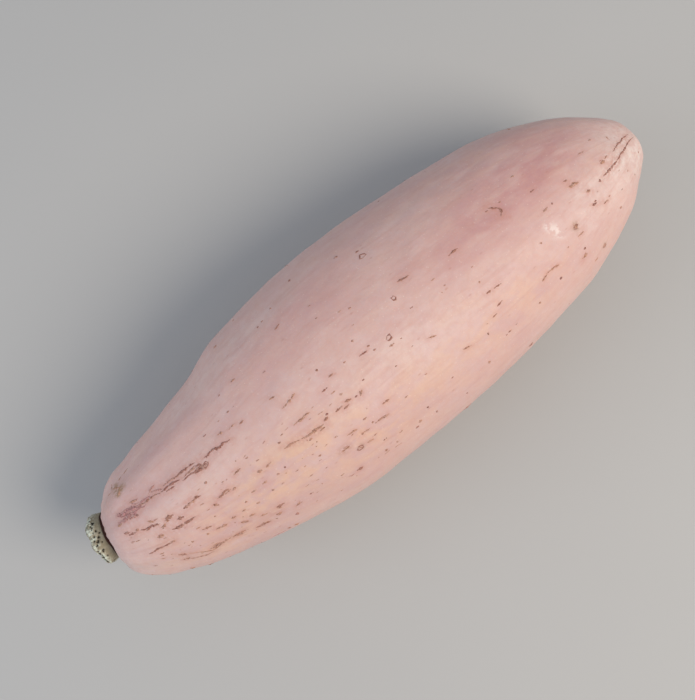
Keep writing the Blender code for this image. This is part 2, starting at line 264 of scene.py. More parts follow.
# Longer cracks: width, then distance along and degrees round of the points that each one passes.
CRACKS = (
    (2.1, ((532.5, 16.2), (543, 16), (553, 14.6), (560, 13.8))),
    (1.6, ((549, 15), (556, 14.2), (568, 13), (581, 9.6), (596, 8.6))),
    (1.5, ((555.5, 6), (566.5, 4.5), (583, 0), (592, -0.5))),
    (2.1, ((78, -10.8), (90, -10.2), (103, -8.6))), (1.9, ((82, -12.8), (96, -12.2), (109, -10.4))),
    (1.8, ((98, -12), (110, -11.8), (122, -10.6))), (2.4, ((124, -9), (141, -7.6), (159, -5.4))),
    (1.9, ((44, -14.6), (56, -12.8), (72, -11.2), (84, -10.4))),
    (2.7, ((66, 17.2), (80, 17.8), (94, 17.6))), (1.5, ((36, 29), (50, 26.6), (64, 26))),
    (1.3, ((60.5, 40.5), (70.5, 45.5), (81, 51), (90, 49), (101, 47.4), (111, 46.8))),
    (1.1, ((57.5, 49.5), (73.5, 53.5), (84, 53))), (1.7, ((184, 15.4), (193, 16.4), (202, 17.8))),
    (2.2, ((199, 17.2), (207, 18.2), (214, 18.6), (226, 18.8))),
    (2.3, ((435, -11.6), (438.4, -11.2), (441.2, -10.2), (443.2, -8.6), (443.4, -6.8), (441.6, -5),
        (438.8, -3.8))),
)
# How far the skin is reddened round a mark: past its ends, at its sides, and the width for the most.
HALO_ENDS = 3.4
HALO_SIDES = 1.9
HALO_FULL = 2.2
# Soft patches of colour on the skin: distance along, degrees round, reach along, reach round, amount.
ROSY = (
    (52, -13, 26, 8, 0.58), (85, -12, 24, 6, 0.35), (505, -17, 62, 20, 0.84), (440, -12, 60, 15, 0.5),
    (380, -4, 70, 16, 0.4), (120, -35, 60, 18, 0.2), (270, -33, 70, 14, 0.4), (545, 30, 40, 20, 0.25),
    (250, -12, 60, 12, 0.22), (120, 150, 120, 40, 0.35), (420, -110, 110, 40, 0.35),
    (350, 105, 90, 24, 0.3), (500, -42, 70, 14, 0.38),
)
PEACHY = (
    (150, 27, 60, 15, 0.6), (250, 36, 80, 18, 0.65), (195, 18, 44, 10, 0.35), (375, 30, 60, 16, 0.3),
    (425, 38, 45, 14, 0.26), (505, -8, 26, 7, 0.2), (80, 50, 50, 24, 0.5), (545, 2, 20, 8, 0.4),
    (200, 110, 110, 30, 0.4), (300, -130, 150, 34, 0.4), (480, -42, 80, 14, 0.34),
)
# Pale chalky patches of the skin; the two on the shaded side at 138 and 226 along are painted light,
# lightening the shade there.
PALE_AND_PAINTED_LIGHT = (
    (576, 12, 34, 44, 0.6), (590, 40, 24, 60, 0.45), (300, 15, 70, 12, 0.3), (135, 5, 60, 10, 0.2),
    (528, 27, 46, 20, 0.44), (138, -50, 40, 12, 0.26), (226, -43, 40, 10, 0.3), (64, 7, 14, 7, 0.24),
    (560, 14, 40, 7, 0.35), (508, 13, 16, 9, 0.26), (230, -1, 50, 10, 0.18), (20, 60, 26, 60, 0.3),
)
SCUFF = (
    (469.5, 20.5, 5, 4.2, 0.75), (465.5, 15.5, 3.4, 2.4, 0.6), (473, 24.5, 3.4, 2.2, 0.5),
)
SCAB = (
    (43.5, -38.5, 6.5, 5, 1), (40.5, -46.5, 5.5, 5, 0.8), (49, -37.5, 5, 3, 0.7),
    (42.5, -33.5, 3, 2.5, 0.8), (26, -37, 10, 14, 0.22), (486.5, 27, 3.6, 2.6, 0.9),
    (504, 56.5, 3, 2.2, 0.7), (234, 40.6, 3, 2, 0.6), (222, 36, 7, 2.4, 0.35),
)
GROUND_PATCH = 0.75  # strength of the cream patch that lay on the ground
GROUND_REACH = 9.0
# Width over which the painted shade of the gap round the stem fades out at the rind's lip.
CREVICE_SHADE_WIDTH = 2.0
SKIN_PINK = (0.618, 0.402, 0.366)
SKIN_LIGHT = (0.655, 0.450, 0.405)
SKIN_PEACH = (0.712, 0.462, 0.330)
SKIN_ROSE = (0.545, 0.285, 0.268)
WAX_BLOOM = (0.720, 0.560, 0.540)
# Chalky pale of the skin, also laid as painted light on the shaded side.
CHALKY_AND_PAINTED_LIGHT = (0.780, 0.640, 0.580)
VEIN_RED = (0.530, 0.265, 0.215)
MOTTLE_RED = (0.610, 0.350, 0.290)
PORE_CREAM = (0.850, 0.680, 0.590)
FRECKLE_BROWN = (0.460, 0.215, 0.165)
HALO_RED = (0.550, 0.275, 0.218)
SCUFF_WHITE = (0.840, 0.730, 0.680)
SCAB_OCHRE = (0.350, 0.198, 0.108)
# Near-black brown painted as the shade in the gap between the rind's lip and the stem.
CREVICE_SHADE_BROWN = (0.130, 0.046, 0.034)
GROUND_CREAM = (0.800, 0.600, 0.400)
# Light goes a little way into the skin, and a faint down of wax catches it at the edges.
SKIN_DEPTH = {
    "Subsurface Weight": 0.06,
    "Subsurface Radius": (1.0, 0.4, 0.25),
    "Subsurface Scale": 0.004,
    "Sheen Weight": 0.08,
    "Sheen Roughness": 0.5,
}


def patches(table, along, around):
    """Sum of soft patches, held between nothing and one."""
    total = np.zeros(len(along))
    for at, turn, reach, spread, amount in table:
        total += amount * patch(along, around, at, turn, reach, spread)
    return np.clip(total, 0.0, 1.0)


def crack_pieces():
    """The longer cracks as short straight streaks, one for each pair of points."""
    pieces = []
    for width, points in CRACKS:
        for (first, low), (last, high) in zip(points, points[1:]):
            length = abs(last - first) + 0.5
            pieces.append(((first + last) / 2.0, (low + high) / 2.0, length, width, high - low))
    return pieces


def mark_halo(along, around):
    """How close each point of the skin is to a corky mark, from nothing to one."""
    total = np.zeros(len(along))
    for at, turn, length, width, drift in STREAKS + tuple(crack_pieces()):
        slope = math.radians(drift) / length
        aside = wrapped(around - math.radians(turn) - slope * (along - at)) * width_at(at)
        past = np.maximum(np.abs(along - at) - length * 0.4, 0.0)
        total += min(1.0, width / HALO_FULL) * fade(past, HALO_ENDS) * fade(aside, width + HALO_SIDES)
    return np.clip(total, 0.0, 1.0)


def add_attribute(mesh, name, values):
    """Store a number or a vector for each vertex, which a material reads by name."""
    values = np.asarray(values, dtype=np.float32)
    kind, field = ("FLOAT", "value") if values.ndim == 1 else ("FLOAT_VECTOR", "vector")
    mesh.attributes.new(name, kind, "POINT").data.foreach_set(field, values.ravel())


def rolled_sphere(name, sides, rings):
    """A grid rolled up into a closed ball, with each vertex's share from pole to pole and its turn."""
    bm = bmesh.new()
    bmesh.ops.create_grid(bm, x_segments=sides, y_segments=rings, size=1.0)
    for vert in bm.verts:
        tilt = (vert.co.y + 1.0) * math.pi / 2.0
        turn = vert.co.x * math.pi
        vert.co = (math.sin(tilt) * math.cos(turn), math.sin(tilt) * math.sin(turn), math.cos(tilt))
    bmesh.ops.remove_doubles(bm, verts=bm.verts, dist=0.00001)
    mesh = bpy.data.meshes.new(name)
    bm.to_mesh(mesh)
    bm.free()
    co = np.empty(len(mesh.vertices) * 3)
    mesh.vertices.foreach_get("co", co)
    x, y, z = co.reshape(-1, 3).T
    return mesh, np.arctan2(np.hypot(x, y), z) / math.pi, np.arctan2(y, x)


def finish_mesh(mesh, points):
    """Put the vertices in place, turn the faces outwards and shade them smooth."""
    mesh.vertices.foreach_set("co", np.asarray(points, dtype=np.float32).ravel())
    bm = bmesh.new()
    bm.from_mesh(mesh)
    bmesh.ops.recalc_face_normals(bm, faces=bm.faces)
    bm.to_mesh(mesh)
    bm.free()
    mesh.shade_smooth()
    mesh.update()


def add_object(name, data):
    """Put a mesh, a lamp or a camera in the scene."""
    item = bpy.data.objects.new(name, data)
    bpy.context.scene.collection.objects.link(item)
    return item


def place_piece(name, mesh, material):
    """Make the finished mesh a piece that rides on the squash."""
    piece = add_object(name, mesh)
    mesh.materials.append(material)
    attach(piece, "root")
    return piece


def add_node(tree, kind, inputs, **settings):
    """A new node in a shader tree, with its settings made and its inputs set or joined up."""
    node = tree.nodes.new("ShaderNode" + kind)
    for name, value in settings.items():
        setattr(node, name, value)
    for label, value in inputs.items():
        if isinstance(value, bpy.types.NodeSocket):
            tree.links.new(value, node.inputs[label])
        else:
            node.inputs[label].default_value = value
    return node


def speckle_group():
    """Scattered soft dots on a vector: a mask that is one in a dot and nothing between."""
    group = bpy.data.node_groups.new("speckle", "ShaderNodeTree")
    group.interface.new_socket(name="Vector", in_out="INPUT", socket_type="NodeSocketVector")
    for label in ("Scale", "Size", "Share"):
        group.interface.new_socket(name=label, in_out="INPUT", socket_type="NodeSocketFloat")
    group.interface.new_socket(name="Mask", in_out="OUTPUT", socket_type="NodeSocketFloat")
    entry = group.nodes.new("NodeGroupInput").outputs
    result = group.nodes.new("NodeGroupOutput").inputs["Mask"]
    placing = {"Vector": entry["Vector"], "Scale": entry["Scale"], "Randomness": 1.0}
    cells = add_node(group, "TexVoronoi", placing).outputs
    fall = {"Value": cells["Distance"], "From Max": entry["Size"], "To Min": 1.0, "To Max": 0.0}
    dot = add_node(group, "MapRange", fall, interpolation_type="SMOOTHSTEP").outputs["Result"]
    lot = add_node(group, "SeparateColor", {"Color": cells["Color"]}).outputs["Red"]
    chosen = add_node(group, "Math", {0: lot, 1: entry["Share"]}, operation="LESS_THAN").outputs["Value"]
    both = add_node(group, "Math", {0: dot, 1: chosen}, operation="MULTIPLY").outputs["Value"]
    group.links.new(both, result)
    return group


SPECKLE = speckle_group()


class Paint:
    """Builds one material: each call adds a node and returns its useful output."""

    def __init__(self, name, colour, roughness, specular):
        self.colour = (*colour, 1.0)
        self.material = bpy.data.materials.new(name)
        self.material.use_nodes = True
        self.tree = self.material.node_tree
        self.surface = self.tree.nodes["Principled BSDF"].inputs
        self.surface["Roughness"].default_value = roughness
        self.surface["Specular IOR Level"].default_value = specular
        self.place = add_node(self.tree, "TexCoord", {}).outputs["Object"]

    def attribute(self, name, output="Fac"):
        """What the mesh stores under a name."""
        return add_node(self.tree, "Attribute", {}, attribute_name=name).outputs[output]

    def stretched(self, skin, along, across):
        """The skin's own vector, scaled so that a pattern is drawn out along the fruit."""
        inputs = {"Vector": skin, "Scale": (along, across, across)}
        return add_node(self.tree, "Mapping", inputs).outputs["Vector"]

    def noise(self, scale, detail, roughness, distortion=0.0, vector=None):
        """Cloudy noise in the object's own space, or along another vector."""
        inputs = {"Vector": vector or self.place, "Scale": scale, "Detail": detail, "Roughness": roughness}
        inputs["Distortion"] = distortion
        return add_node(self.tree, "TexNoise", inputs).outputs["Fac"]

    def speckle(self, vector, scale, size, share):
        """A mask of scattered dots."""
        node = add_node(self.tree, "Group", {}, node_tree=SPECKLE)
        self.tree.links.new(vector, node.inputs["Vector"])
        for label, number in (("Scale", scale), ("Size", size), ("Share", share)):
            node.inputs[label].default_value = number
        return node.outputs["Mask"]

    def spread(self, value, low, high, out_low=0.0, out_high=1.0):
        """Turn one range of values softly into another."""
        inputs = {"Value": value, "From Min": low, "From Max": high, "To Min": out_low, "To Max": out_high}
        return add_node(self.tree, "MapRange", inputs, interpolation_type="SMOOTHSTEP").outputs["Result"]

    def plus(self, first, second, operation="ADD"):
        """The sum of two values, of which the second may be a number."""
        return add_node(self.tree, "Math", {0: first, 1: second}, operation=operation).outputs["Value"]

    def minus(self, first, second):
        """What is left of the first value."""
        return self.plus(first, second, "SUBTRACT")

    def times(self, first, second):
        """The product of two values."""
        return self.plus(first, second, "MULTIPLY")

    def lay(self, mask, colour):
        """Lay a colour over what is there already, where the mask is one."""
        inputs = {0: mask, 6: self.colour, 7: (*colour, 1.0)}
        self.colour = add_node(self.tree, "Mix", inputs, data_type="RGBA").outputs[2]
        self.tree.links.new(self.colour, self.surface["Base Color"])

    def roughen(self, height, strength, distance):
        """Shade the surface as if it rose and fell by a height."""
        inputs = {"Height": height, "Strength": strength, "Distance": distance}
        self.tree.links.new(add_node(self.tree, "Bump", inputs).outputs["Normal"], self.surface["Normal"])


def rind_material():
    """Waxy skin: pink over peach, mottled, finely veined lengthwise and dusted with pale pores."""
    paint = Paint("waxy_pink_rind", SKIN_PINK, 0.5, 0.40)
    skin = paint.attribute("skin_run", "Vector")
    clouds = paint.noise(1.0, 4.0, 0.55, 0.0, paint.stretched(skin, 9.0, 22.0))
    paint.lay(paint.spread(clouds, 0.40, 0.60), SKIN_LIGHT)
    blotches = paint.noise(1.0, 5.0, 0.62, 0.3, paint.stretched(skin, 38.0, 70.0))
    warmth = paint.plus(paint.attribute("peach"), 0.18)
    paint.lay(paint.times(warmth, paint.spread(blotches, 0.38, 0.62)), SKIN_PEACH)
    blush = paint.noise(1.0, 4.0, 0.55, 0.2, paint.stretched(skin, 34.0, 85.0))
    redness = paint.plus(paint.attribute("rose"), 0.13)
    paint.lay(paint.times(redness, paint.spread(blush, 0.24, 0.68, 0.22, 1.0)), SKIN_ROSE)
    bloom = paint.noise(1.0, 5.0, 0.65, 0.5, paint.stretched(skin, 55.0, 80.0))
    paint.lay(paint.spread(bloom, 0.46, 0.74, 0.0, 0.14), WAX_BLOOM)
    # Chalky pale patches, of which those on the shaded side are painted light.
    paint.lay(paint.times(paint.attribute("pale"), paint.spread(bloom, 0.16, 0.66)), CHALKY_AND_PAINTED_LIGHT)
    veins = paint.noise(1.0, 4.0, 0.6, 0.5, paint.stretched(skin, 22.0, 190.0))
    paint.lay(paint.spread(veins, 0.50, 0.72, 0.0, 0.26), VEIN_RED)
    mottle = paint.noise(170.0, 4.0, 0.62)
    paint.lay(paint.spread(mottle, 0.40, 0.72, 0.0, 0.32), MOTTLE_RED)
    pores = paint.speckle(paint.place, 300.0, 0.26, 0.45)
    paint.lay(paint.times(pores, 0.34), PORE_CREAM)
    freckles = paint.speckle(paint.stretched(skin, 70.0, 140.0), 1.0, 0.18, 0.38)
    paint.lay(paint.times(freckles, 0.46), FRECKLE_BROWN)
    ragged = paint.spread(paint.noise(330.0, 3.0, 0.6), 0.30, 0.62)
    near_mark = paint.times(paint.attribute("halo"), paint.spread(ragged, 0.0, 1.0, 0.10, 0.54))
    paint.lay(near_mark, HALO_RED)
    scuff = paint.times(paint.attribute("scuff"), paint.spread(mottle, 0.40, 0.54))
    paint.lay(scuff, SCUFF_WHITE)
    scab = paint.times(paint.attribute("scab"), ragged)
    paint.lay(scab, SCAB_OCHRE)
    # Painted shade in the gap between the lip of the basin and the stem.
    paint.lay(paint.attribute("crevice_shade"), CREVICE_SHADE_BROWN)
    paint.lay(paint.attribute("ground"), GROUND_CREAM)
    gloss = paint.plus(paint.spread(clouds, 0.3, 0.7, 0.46, 0.56), paint.spread(mottle, 0.3, 0.7, 0.0, 0.1))
    paint.tree.links.new(gloss, paint.surface["Roughness"])
    for label, value in SKIN_DEPTH.items():
        paint.surface[label].default_value = value
    peel = paint.noise(420.0, 3.0, 0.55)
    grain = paint.plus(paint.times(peel, 0.5), paint.times(veins, 0.45))
    grain = paint.plus(paint.minus(grain, paint.times(pores, 0.3)), paint.times(bloom, 0.3))
    grain = paint.plus(grain, paint.times(scab, paint.noise(700.0, 4.0, 0.7)))
    paint.roughen(grain, 0.5, 0.0008)
    return paint.material


def build_rind():
    """Draw a closed ball out into the fruit, with its swells, lumps and puckered lip."""
    mesh, share, turn = rolled_sphere("rind", RIND_SIDES, RIND_RINGS)
    run = np.interp(share, RING_SHARES, RING_RUNS)
    points = rest_on_ground(grown_skin(run, turn)) * MM
    finish_mesh(mesh, points)
    along, half_width, _ = body_at(run)
    girth = GRAIN_GIRTH * np.clip(half_width / TAPER_FROM, 0.25, 1.0)
    add_attribute(mesh, "skin_run", np.column_stack((run, girth * np.cos(turn), girth * np.sin(turn))) * MM)
    outside = np.where(run > LIP_RUN, 1.0, 0.0)
    for name, table in (("rose", ROSY), ("peach", PEACHY), ("pale", PALE_AND_PAINTED_LIGHT), ("scuff", SCUFF), ("scab", SCAB)):
        add_attribute(mesh, name, patches(table, along, turn) * outside)
    add_attribute(mesh, "halo", mark_halo(along, turn) * outside)
    # The skin inside the lip of the basin is painted dark as the shade of the gap round the stem, fading out
    # at the lip.
    shade_edge = LIP_RUN + 0.4 + 0.5 * np.sin(9.0 * turn)
    add_attribute(mesh, "crevice_shade", ramp(shade_edge - run, 0.0, CREVICE_SHADE_WIDTH))
    add_attribute(mesh, "ground", GROUND_PATCH * (1.0 - ramp(points[:, 2] / MM, 0.0, GROUND_REACH)))
    piece = place_piece("squash_rind", mesh, rind_material())
    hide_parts("fruit")


build_rind()

# Corky streaks.
# Growth cracks in the young skin healed over with brown cork. Each is a low crust that runs with the
# grain of the fruit, sunk in the rind, broken across into small beads and tapered at both ends.
FRESH_FROM = 430.0  # the cracks past here, towards the blossom end, are newer and darker
# Marks that close on themselves: distance along, degrees round, half length, half width, then how far
# the crust runs to each side of its start, in half turns, and where it starts.
LOOPS = (
    (307, 7.8, 2.4, 1.8, 1.35, 0), (330, -4.8, 1.8, 1.7, 1.35, 2), (334, -32.3, 2.8, 2.2, 1.35, 4),
    (233, 40.8, 2.6, 2.2, 1.35, 1), (113, -7.6, 9, 1.7, 1.35, 0.6), (124, -5, 6, 1.5, 1.35, 2),
    (40, -15.6, 7, 2.1, 1.35, 0.4), (50, -12.6, 7.5, 2, 1.35, 2.2), (60, -12.2, 7, 1.8, 1.35, 4),
    (36, -11, 6, 2.2, 0.9, 1.2), (55, -17, 6, 1.6, 0.9, 3), (486.5, 27, 2.6, 1.6, 1.35, 0.4),
)
# Short crusts that cross or meet: start and end as distance along and degrees round, then width.
SCAB_RIDGES = (
    ((36.5, -57.5), (35.6, -45.5), 1.5), ((37, -46.5), (48.5, -38), 1.6),
    ((27, -46.8), (34.5, -44.4), 1.2), ((45, -50), (54, -52.2), 1.3), ((53, -52), (62, -51.6), 1.5),
    ((42, -32.5), (46, -36.5), 1.8), ((484, 25), (488, 29.5), 2), ((484.5, 27.5), (489.5, 26), 1.6),
    ((566, -12.5), (566, -4.5), 1.5), ((504, 55), (505, 58.5), 2.6), ((232, 39.6), (234.5, 41.8), 2.2),
)
STREAK_HEIGHT = 0.26  # height of a crust as a share of its width
SINK = 0.42  # share of a crust's depth that is under the skin
CRUST_SIDES = 10
CRUST_STEP = 0.6
LOOP_WIDTH = 1.65
# How strongly a crust thickens into beads, grows ragged at its sides and wanders.
BEADING = 0.85
RAGGEDNESS = 0.8
THICKNESS = (0.12, 1.9)
WANDER = 0.6
BREAK_BELOW = 0.52  # a crust thinner than this share of its full width dips under the skin
BREAK_DEPTH = 0.9
# Where the cork is young and rosy: distance along, degrees round, reach along, reach round.
YOUNG = (45.0, -13.0, 30.0, 7.0)
YOUNG_UNTIL = 70.0
DARK_TINT = 0.15
OCHRE_TINT = 0.5
ROSY_TINT = 0.9
STREAK_SEED = 23
DARK_CORK = (0.310, 0.132, 0.104)
OCHRE_CORK = (0.490, 0.262, 0.176)
ROSY_CORK = (0.475, 0.232, 0.222)
WORN_CORK = (0.610, 0.405, 0.345)
CORK_CRACK = (0.185, 0.078, 0.058)


def straight_trail(at, turn, length, drift):
    """Two ends of a mark that follows the grain, as runs of the skin and angles."""
    middle = run_at(at)
    half_turn = math.radians(drift) / 2.0
    return (
        np.array((middle - length / 2.0, middle + length / 2.0)),
        np.array((math.radians(turn) - half_turn, math.radians(turn) + half_turn)),
    )


def open_trail(points):
    """A trail through places given as distance along and degrees round."""
    return np.array([run_at(at) for at, _ in points]), np.array([math.radians(turn) for _, turn in points])


def loop_trail(at, turn, half_length, half_width, sweep, start):
    """A trail round an uneven oval, or most of the way round it."""
    bends = np.linspace(start - math.pi * sweep, start + math.pi * sweep, 32)
    ripple = 1.0 + 0.2 * np.sin(3.0 * bends + at) + 0.12 * np.sin(5.0 * bends)
    runs = run_at(at) + half_length * ripple * np.cos(bends)
    return runs, math.radians(turn) + half_width * ripple * np.sin(bends) / width_at(at)


def crust_noise(place, side, number):
    """How much a crust is beaded, ragged and bent at each vertex, between -1 and 1."""
    beads = np.array([noise.noise(Vector((p * 0.75, number * 7.9, 4.5))) for p in place])
    ragged = np.array([noise.noise(Vector((p * 0.9, s * 1.3, number * 2.3))) for p, s in zip(place, side)])
    wander = np.array([noise.noise(Vector((p * 0.16, number * 3.7, 0.5))) for p in place])
    return beads, ragged, wander


def crust_verts(ball, number, trail, width, rise):
    """Where each vertex of a round mesh goes: its run, its angle and its lift off the skin."""
    runs, turns = trail
    girth = float(body_at(runs.mean())[1])
    reach = np.concatenate(([0.0], np.cumsum(np.hypot(np.diff(runs), girth * np.diff(turns)))))
    length = reach[-1]
    side, up, way = np.array([tuple(vert.co) for vert in ball.verts]).T
    way = 1.0 - 2.0 * np.arccos(np.clip(way, -1.0, 1.0)) / math.pi
    place = (way + 1.0) / 2.0 * length
    run, turn = np.interp(place, reach, runs), np.interp(place, reach, turns)
    step = 0.02 * length
    back, fore = np.clip(place - step, 0.0, length), np.clip(place + step, 0.0, length)
    lead = np.interp(fore, reach, runs) - np.interp(back, reach, runs)
    swing = girth * (np.interp(fore, reach, turns) - np.interp(back, reach, turns))
    size = np.hypot(lead, swing) + 1e-9
    beads, ragged, wander = crust_noise(place, side, number)
    full = np.clip(1.0 + BEADING * beads + RAGGEDNESS * ragged, *THICKNESS)
    blunt = np.maximum(np.hypot(side, up), 0.05) ** -0.35
    aside = side * blunt * width / 2.0 * full + wander * min(WANDER * width, 0.07 * length)
    lift = (up * blunt - SINK) * width * rise / (1.0 - SINK) * np.where(up > SINK, full, 1.0)
    lift = lift - BREAK_DEPTH * np.clip(BREAK_BELOW - full, 0.0, 1.0)
    return run - swing / size * aside, turn + lead / size * aside / girth, lift


def lay_crusts(name, crusts, material):
    """Lay every crust on the skin and join them in one piece."""
    whole = bmesh.new()
    rows = []
    for number, (trail, width, rise, tint) in enumerate(crusts):
        length = float(np.hypot(np.ptp(trail[0]), 60.0 * np.ptp(trail[1])))
        rings = max(6, int(length / CRUST_STEP))
        ball = bmesh.new()
        bmesh.ops.create_uvsphere(ball, u_segments=CRUST_SIDES, v_segments=rings, radius=1.0)
        run, turn, lift = crust_verts(ball, number, trail, width, rise)
        rows.append(np.column_stack((run, turn, lift, np.full(len(run), tint))))
        shape = bpy.data.meshes.new("shape")
        ball.to_mesh(shape)
        ball.free()
        whole.from_mesh(shape)
        bpy.data.meshes.remove(shape)
    mesh = bpy.data.meshes.new(name)
    whole.to_mesh(mesh)
    whole.free()
    run, turn, lift, tint = np.concatenate(rows).T
    run = np.clip(run, LIP_RUN + 1.0, SKIN_LENGTH - 1.0)
    finish_mesh(mesh, rest_on_ground(grown_skin(run, turn, lift)) * MM)
    add_attribute(mesh, "tint", tint)
    place_piece(name, mesh, material)


def cork_material():
    """Dry cork in thin crusts: rosy where it is young, ochre on its worn crests, cracked across."""
    paint = Paint("healed_crack_cork", DARK_CORK, 0.80, 0.25)
    tint = paint.attribute("tint")
    tone = paint.noise(240.0, 4.0, 0.65)
    paint.lay(paint.spread(tint, 0.0, OCHRE_TINT), OCHRE_CORK)
    paint.lay(paint.spread(tint, OCHRE_TINT, 1.0), ROSY_CORK)
    paint.lay(paint.spread(tone, 0.42, 0.66, 0.0, 0.5), WORN_CORK)
    cracks = paint.noise(620.0, 3.0, 0.65)
    paint.lay(paint.spread(cracks, 0.50, 0.64, 0.0, 0.65), CORK_CRACK)
    height = paint.minus(tone, paint.spread(cracks, 0.50, 0.64, 0.0, 0.6))
    paint.roughen(height, 0.7, 0.0004)
    return paint.material


CRACK_CORK = cork_material()


def toned(tint, at, turn):
    """A crust's tint, drawn towards ochre where the skin is peach."""
    warm = patches(PEACHY, np.array((at,)), np.array((math.radians(turn),)))[0]
    return tint + (OCHRE_TINT - tint) * warm


def strands(draw, streak, tint):
    """The finer crusts that run beside a broad streak."""
    at, turn, length, width, drift = streak
    crusts = []
    for _ in range(int(width / 1.1) - 1):
        shift = 0.35 * length * (2.0 * draw.random() - 1.0)
        offset = math.degrees(width * (0.35 + 0.5 * draw.random()) / width_at(at))
        beside = turn + offset * draw.choice((-1.0, 1.0))
        trail = straight_trail(at + shift, beside, length * (0.35 + 0.4 * draw.random()), drift)
        crusts.append((trail, width * 0.5, STREAK_HEIGHT, min(1.0, tint + 0.2)))
    return crusts


def build_streaks():
    """The marks of the main table with their strands, the longer cracks, the loops and the scabs."""
    draw = np.random.default_rng(STREAK_SEED)
    crusts = []
    for streak in STREAKS:
        at, turn, length, width, drift = streak
        rosy = patch(at, math.radians(turn), *YOUNG)
        tint = toned(min(1.0, 0.6 * draw.random() + 0.9 * rosy), at, turn)
        crusts.append((straight_trail(at, turn, length * 1.25, drift), width * 1.05, STREAK_HEIGHT, tint))
        crusts += strands(draw, streak, tint)
    for width, points in CRACKS:
        tint = DARK_TINT if points[0][0] > FRESH_FROM else 0.3 * draw.random()
        crusts.append((open_trail(points), width, STREAK_HEIGHT, toned(tint, *points[len(points) // 2])))
    for loop in LOOPS:
        tint = ROSY_TINT if loop[0] < YOUNG_UNTIL else DARK_TINT
        crusts.append((loop_trail(*loop), LOOP_WIDTH, STREAK_HEIGHT, tint))
    for first, last, width in SCAB_RIDGES:
        crusts.append((open_trail((first, last)), width, STREAK_HEIGHT, 0.45))
    lay_crusts("corky_streaks", crusts, CRACK_CORK)


build_streaks()

# Corky spots.
# Pores of the skin that healed over as small round crusts of the same cork. Most are stray ones, thinly
# spread over the whole fruit, with a few short streaks among them and faint dashes along the lower side.
SPOT_HEIGHT = 0.24
SPOT_SEED = 24
# Distance along, degrees round, length, width.
SPOTS = (
    (117, 3.5, 3.2, 2), (157, 7.5, 3, 1.6), (75, 33, 2.6, 2), (89, 33.6, 2.6, 2.2), (126, 32, 4, 1.6),
    (139, 33, 4, 1.8), (168, 25, 3, 1.6), (176, 24, 2.2, 1.5), (156, 31, 3, 1.6), (165, 31, 4.6, 1.4),
    (104, 25, 2.2, 1.4), (132, 28, 2.4, 1.8), (155, 58, 4, 2.8), (177, 48, 4, 2), (186, 12, 4, 1.6),
    (249, 13.4, 3.4, 1.8), (230, 16, 3, 1.6), (246, -2, 2.6, 1.6), (267, 3.5, 3, 1.2), (270, 15, 3, 1.6),
    (189, 30, 2.2, 1.5), (204, 30, 3, 1.6), (210, 23.5, 2.6, 1.9), (251, 29.5, 4.2, 1.8),
    (257, 18.5, 3, 1.6), (207, 20.6, 4, 1.6), (254, 34, 2.2, 2), (253, 47, 4, 2), (248, 54, 3, 2.6),
    (267, 50, 4, 2), (280, 56, 4, 2.2), (285, 54, 4, 2.4), (290, 5, 3, 1.6), (292, 8, 3, 1.5),
    (283, -1.5, 3, 2), (291, -7, 3, 1.5), (288, 35, 4, 1.5), (297, 20, 2.2, 1.4), (297, 49, 2.2, 2.2),
    (190, -59, 4, 4), (170, -29, 2.4, 2), (236, -42, 3, 2), (230, -41, 2.2, 1.5), (248, -44.5, 2, 2),
    (274, -28.5, 3, 1.5), (275, -51.5, 3, 2), (272, -21, 4, 1.2), (157, -18.5, 3.2, 1.4),
    (168, -18.2, 3, 1.6), (174, -18, 2.2, 1.6), (212, -19, 3, 1.4), (140, -18.5, 4, 1.2),
    (290, -16, 3, 1.5), (298, -14, 3, 1.4), (305, 11.2, 5, 1.8), (314, 11.5, 2.2, 1.3),
    (317, 17.5, 2.2, 1.5), (333, -36.5, 4, 1.6), (317, -42, 4, 2), (364, -0.5, 4, 1.3),
    (336, 3.5, 3, 1.3), (368, 5, 2.2, 1.2), (363, 7, 1.4, 1.2), (395, 6.5, 2.2, 1.3), (312, 32.5, 3, 1.3),
    (373, 38, 1.8, 2.6), (377, 33.5, 1.6, 1.3), (392, 14.5, 1.8, 1.3), (328, 44, 2.4, 1.6),
    (386, 47, 2.2, 1.6), (390, 46.5, 4.4, 1.8), (398, 46, 3, 1.4), (425, 47, 3, 1.6), (361, 53, 3, 3),
    (331, 61, 2, 2.2), (301, 56, 2.4, 2.6), (453, 20, 1.8, 1.6), (434.8, -11.2, 3, 1.4),
    (447.8, -11, 3, 1.5), (471, -18.5, 4, 1.4), (586, 34, 2.6, 1.6), (552, 22, 2.6, 1.2),
    (561, 30, 3, 1.2), (545, 36, 2.4, 1.3), (568, 44, 2.6, 1.2), (481, 7.5, 2.2, 1.5),
    (530, 16.6, 3.4, 2.4), (522, 21, 2.4, 1.7), (530, 30.4, 3.2, 1.4), (471, 33, 2.2, 1.5),
    (484, 42.5, 3.2, 2.2), (452, 45, 3.2, 2), (536, 47, 3, 2.4), (504, 56.5, 5, 4.2), (491, 58.5, 5, 2.2),
    (549, -14, 3.2, 2.2), (510, -62, 3, 3),
)
STRAY_SPOTS = 260
HIDDEN_ALONG = (24.0, 565.0)  # start and reach of the sides that are turned away
HIDDEN_ROUND = (66.0, 232.0)
# Stray streaks, then faint dashes: count, start and reach along, how much they bunch towards the stem,
# start and reach round, least and spread of the length, drift, least and spread of the width, rise,
# least and spread of the tint.
STRAY_MARKS = (
    (70, (30.0, 540.0), 1.4, (68.0, 226.0), (4.0, 16.0), 2.0, (1.2, 1.4), STREAK_HEIGHT, (0.0, 1.0)),
    (110, (30.0, 240.0), 1.3, (4.0, 60.0), (1.5, 6.0), 1.0, (0.7, 0.4), SPOT_HEIGHT, (0.4, 0.4)),
)


